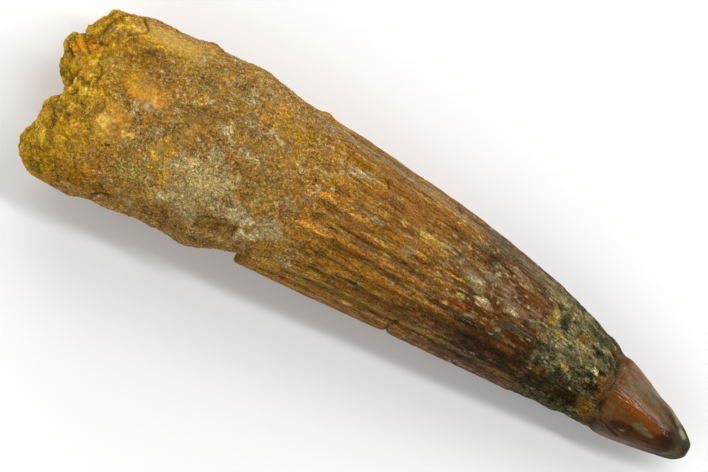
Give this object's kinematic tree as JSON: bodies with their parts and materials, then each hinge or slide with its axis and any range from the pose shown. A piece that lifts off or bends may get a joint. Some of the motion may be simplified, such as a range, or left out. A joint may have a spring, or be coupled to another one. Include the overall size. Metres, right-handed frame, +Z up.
{
  "type": "spinosaurus tooth fossil",
  "caption": "Long conical fossil tooth lying on its side, with a sand-crusted broken root, a fluted crown, a worn collar and a glossy tip.",
  "frame": {"origin": "centre of the tooth's bounding box, at the level of the small flat that it rests on", "axes": "+X from the broken root to the tip, +Y towards the convex edge, +Z up from the surface it lies on"},
  "size_m": [0.1048, 0.029, 0.0215],
  "materials": {
    "fossil": "rough golden-brown sand crust on the root, glossy brown enamel on the crown"
  },
  "bodies": {
    "root": {"tooth": "fossil"}
  },
  "joints": []
}
